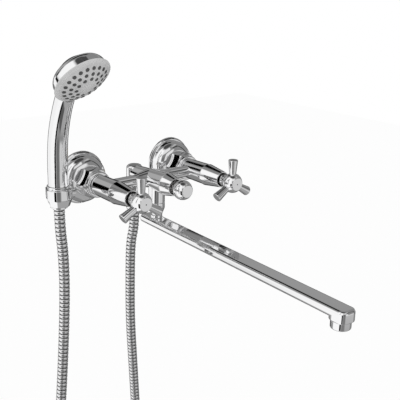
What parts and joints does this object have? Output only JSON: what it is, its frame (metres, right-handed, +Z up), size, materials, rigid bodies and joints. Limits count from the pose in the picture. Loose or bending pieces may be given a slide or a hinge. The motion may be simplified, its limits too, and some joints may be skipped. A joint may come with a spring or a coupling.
{
  "type": "bath mixer with hand shower",
  "caption": "Wall-mounted bath mixer with cross handles, diverter knob, long swivel spout and hand shower on a ribbed metal hose.",
  "frame": {"origin": "midway between the two wall threads, in the plane of the finished wall", "axes": "+Z up, +Y into the wall, so the user stands towards -Y; +X to the user's right"},
  "size_m": [0.2753, 0.4382, 0.895],
  "materials": {
    "chrome": "polished chrome plate on brass",
    "chromed_plastic": "polished chrome plate on plastic",
    "hose_metal": "polished interlocked metal hose",
    "brass": "machined brass",
    "steel": "stainless steel",
    "ceramic": "ground ceramic",
    "rubber": "black rubber",
    "white_plastic": "moulded plastic",
    "face_grey": "satin grey plastic",
    "nozzle_rubber": "soft dark rubber"
  },
  "bodies": {
    "mixer": {"left_wall_union": "brass", "left_wall_flange": "chrome", "left_union_nut": "chrome", "right_wall_union": "brass", "right_wall_flange": "chrome", "right_union_nut": "chrome", "inlet_washers": "rubber", "holder_arm": "chrome", "right_collar_ring": "chrome", "mixer_body": "chrome", "seat_seals": "rubber", "left_fixed_disc": "ceramic", "left_headwork": "brass", "left_shroud": "chrome", "right_fixed_disc": "ceramic", "right_headwork": "brass", "right_shroud": "chrome", "diverter_fixed_disc": "ceramic", "diverter_headwork": "brass", "diverter_shroud": "chrome", "spout_nut": "chrome", "spout_slip_ring": "chrome", "hose_nut": "chrome", "hose_nut_washer": "rubber", "hose_ferrule": "brass", "shower_hose": "hose_metal", "holder_cup": "chrome", "holder_screw": "chrome"},
    "left_valve": {"left_turning_disc": "ceramic", "left_spindle": "brass", "left_spindle_ring": "rubber", "left_handle": "chrome", "left_handle_screw": "steel", "left_index_cap": "chrome"},
    "right_valve": {"right_turning_disc": "ceramic", "right_spindle": "brass", "right_spindle_ring": "rubber", "right_handle": "chrome", "right_handle_screw": "steel", "right_index_cap": "chrome"},
    "diverter": {"diverter_turning_disc": "ceramic", "diverter_spindle": "brass", "diverter_spindle_ring": "rubber", "diverter_knob": "chrome", "diverter_knob_screw": "steel", "diverter_cap": "chrome"},
    "swivel_spout": {"spout": "chrome", "spout_seals": "rubber", "spout_retainer": "steel", "aerator_housing": "chrome", "aerator_insert": "white_plastic", "aerator_washer": "rubber"},
    "hose_end": {"hose_cone": "chrome", "hose_cone_washer": "rubber", "hose_cone_ferrule": "brass"},
    "hand_shower": {"handset_shell": "chromed_plastic", "handset_nipple": "brass", "face_trim": "chromed_plastic", "face_plate": "face_grey", "nozzle_mat": "nozzle_rubber"}
  },
  "joints": [
    {"name": "left_handle_turn", "type": "hinge", "parent": "mixer", "child": "left_valve", "pos_m": [-0.075, -0.141, 0.006], "axis": [0, -1, 0], "range_deg": [0, 180]},
    {"name": "right_handle_turn", "type": "hinge", "parent": "mixer", "child": "right_valve", "pos_m": [0.075, -0.141, 0.006], "axis": [0, -1, 0], "range_deg": [0, 180]},
    {"name": "diverter_turn", "type": "hinge", "parent": "mixer", "child": "diverter", "pos_m": [0, -0.128, 0.006], "axis": [0, -1, 0], "range_deg": [0, 90]},
    {"name": "spout_swivel", "type": "hinge", "parent": "mixer", "child": "swivel_spout", "pos_m": [0, -0.072, -0.05], "axis": [0, 0, 1], "range_deg": [-82, 90]},
    {"name": "handset_lift", "type": "slide", "parent": "mixer", "child": "hose_end", "axis": [0, 0, 1], "range_m": [0, 0.05], "deforming": ["shower_hose"]},
    {"name": "handset_turn", "type": "hinge", "parent": "hose_end", "child": "hand_shower", "pos_m": [-0.1345, -0.046, 0.03], "axis": [0, 0, 1], "range_deg": [-60, 60]}
  ]
}
